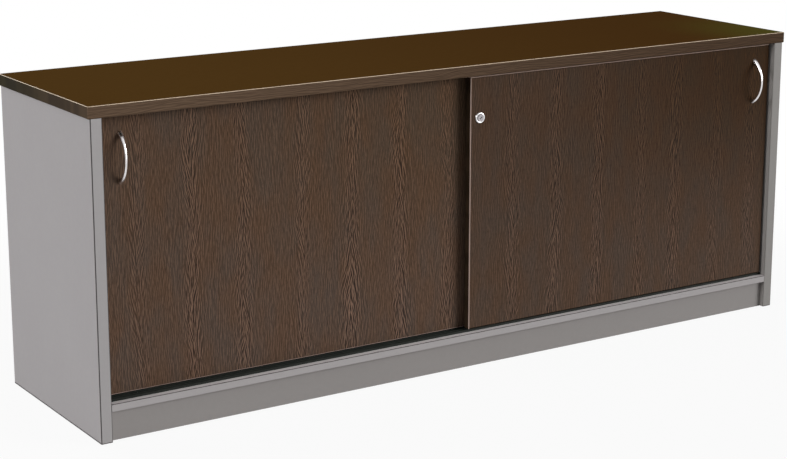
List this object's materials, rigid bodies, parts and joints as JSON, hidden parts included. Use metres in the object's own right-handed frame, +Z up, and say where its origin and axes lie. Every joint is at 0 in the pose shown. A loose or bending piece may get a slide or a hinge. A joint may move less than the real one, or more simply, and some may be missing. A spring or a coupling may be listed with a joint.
{
  "type": "office credenza",
  "caption": "Low office storage cabinet on a recessed kick plate, with sliding doors on a bottom track, bow handles, a push lock and shelves behind the doors.",
  "frame": {"origin": "on the floor, in the middle of the bounding box in X and Y", "axes": "+X to the right along the front, +Y from the front to the back, +Z up"},
  "size_m": [1.8, 0.467, 0.68],
  "materials": {
    "dark_laminate": "satin dark brown laminate on chipboard",
    "dark_edging": "2 mm plastic edging, dark horizontal wood grain",
    "grey_laminate": "fine-textured light grey melamine on chipboard",
    "grey_edging": "1 mm light grey plastic edging",
    "back_board": "light grey back board",
    "door_laminate": "dark wood-grain laminate, fine vertical streaks",
    "door_edging": "1.3 mm plastic edging, dark wood grain",
    "track_plastic": "dark grey extruded plastic",
    "black_plastic": "moulded black plastic",
    "wheel_plastic": "off-white moulded plastic",
    "rubber": "soft black rubber",
    "plated_steel": "zinc-plated steel",
    "cast_zinc": "cast zinc",
    "beech": "plain beech",
    "chrome": "polished chrome plate",
    "lock_steel": "satin nickel plate"
  },
  "bodies": {
    "carcass": {"cam_discs": "cast_zinc", "cam_bolts": "plated_steel", "wooden_dowels": "beech", "shelf_pins": "plated_steel", "floor_glides": "black_plastic", "door_buffers": "rubber", "bottom_track": "track_plastic", "track_screws": "plated_steel", "front_top_channel": "track_plastic", "rear_top_channel": "track_plastic", "top_front_edging": "dark_edging", "top_rear_edging": "dark_edging", "top_left_edging": "dark_edging", "top_right_edging": "dark_edging", "top_board": "dark_laminate", "left_end_edging": "grey_edging", "left_end_panel": "grey_laminate", "right_end_edging": "grey_edging", "right_end_panel": "grey_laminate", "base_edging": "grey_edging", "base_board": "grey_laminate", "kick_plate": "grey_laminate", "rear_rail": "grey_laminate", "back_panel": "back_board", "divider_edging": "grey_edging", "centre_divider": "grey_laminate", "left_shelf": "grey_laminate", "right_shelf": "grey_laminate", "shelf_edging": "grey_edging"},
    "front_door": {"front_door_left_roller_housing": "black_plastic", "front_door_right_roller_housing": "black_plastic", "front_door_roller_axles": "plated_steel", "front_door_guide_sleeves": "black_plastic", "front_door_handle": "chrome", "front_door_handle_screws": "plated_steel", "lock_rosette": "chrome", "lock_sleeve": "cast_zinc", "front_door_edging": "door_edging", "front_door_board": "door_laminate"},
    "rear_door": {"rear_door_left_roller_housing": "black_plastic", "rear_door_right_roller_housing": "black_plastic", "rear_door_roller_axles": "plated_steel", "rear_door_guide_sleeves": "black_plastic", "rear_door_handle": "chrome", "rear_door_handle_screws": "plated_steel", "rear_door_edging": "door_edging", "rear_door_board": "door_laminate"},
    "front_door_left_wheel": {"front_door_left_roller_wheel": "wheel_plastic"},
    "front_door_left_guide_pin": {"front_door_left_guide_pin": "wheel_plastic"},
    "front_door_right_wheel": {"front_door_right_roller_wheel": "wheel_plastic"},
    "front_door_right_guide_pin": {"front_door_right_guide_pin": "wheel_plastic"},
    "lock_barrel": {"lock_barrel": "chrome"},
    "lock_core": {"lock_core": "lock_steel"},
    "rear_door_left_wheel": {"rear_door_left_roller_wheel": "wheel_plastic"},
    "rear_door_left_guide_pin": {"rear_door_left_guide_pin": "wheel_plastic"},
    "rear_door_right_wheel": {"rear_door_right_roller_wheel": "wheel_plastic"},
    "rear_door_right_guide_pin": {"rear_door_right_guide_pin": "wheel_plastic"}
  },
  "joints": [
    {"name": "front_door_slide", "type": "slide", "parent": "carcass", "child": "front_door", "axis": [1, 0, 0], "range_m": [-0.8065, 0]},
    {"name": "rear_door_slide", "type": "slide", "parent": "carcass", "child": "rear_door", "axis": [1, 0, 0], "range_m": [0, 0.8065]},
    {"name": "front_door_left_wheel_spin", "type": "hinge", "parent": "front_door", "child": "front_door_left_wheel", "pos_m": [0.064, -0.1965, 0.0923], "axis": [0, 1, 0], "continuous": true},
    {"name": "front_door_right_wheel_spin", "type": "hinge", "parent": "front_door", "child": "front_door_right_wheel", "pos_m": [0.795, -0.1965, 0.0923], "axis": [0, 1, 0], "continuous": true},
    {"name": "front_door_left_guide_pin_draw", "type": "slide", "parent": "front_door", "child": "front_door_left_guide_pin", "axis": [0, 0, 1], "range_m": [-0.008, 0]},
    {"name": "front_door_right_guide_pin_draw", "type": "slide", "parent": "front_door", "child": "front_door_right_guide_pin", "axis": [0, 0, 1], "range_m": [-0.008, 0]},
    {"name": "rear_door_left_wheel_spin", "type": "hinge", "parent": "rear_door", "child": "rear_door_left_wheel", "pos_m": [-0.795, -0.1735, 0.0923], "axis": [0, 1, 0], "continuous": true},
    {"name": "rear_door_right_wheel_spin", "type": "hinge", "parent": "rear_door", "child": "rear_door_right_wheel", "pos_m": [-0.064, -0.1735, 0.0923], "axis": [0, 1, 0], "continuous": true},
    {"name": "rear_door_left_guide_pin_draw", "type": "slide", "parent": "rear_door", "child": "rear_door_left_guide_pin", "axis": [0, 0, 1], "range_m": [-0.008, 0]},
    {"name": "rear_door_right_guide_pin_draw", "type": "slide", "parent": "rear_door", "child": "rear_door_right_guide_pin", "axis": [0, 0, 1], "range_m": [-0.008, 0]},
    {"name": "lock_push", "type": "slide", "parent": "front_door", "child": "lock_barrel", "axis": [0, 1, 0], "range_m": [0, 0.0035], "stiffness_N_per_m": 200},
    {"name": "lock_key_turn", "type": "hinge", "parent": "lock_barrel", "child": "lock_core", "pos_m": [0.019, -0.2055, 0.5615], "axis": [0, 1, 0], "range_deg": [0, 90]}
  ],
  "couplings": [
    {"joint": "front_door_left_wheel_spin", "follows": "front_door_slide", "rad_per_m": 111.11},
    {"joint": "front_door_right_wheel_spin", "follows": "front_door_slide", "rad_per_m": 111.11},
    {"joint": "rear_door_left_wheel_spin", "follows": "rear_door_slide", "rad_per_m": 111.11},
    {"joint": "rear_door_right_wheel_spin", "follows": "rear_door_slide", "rad_per_m": 111.11}
  ]
}
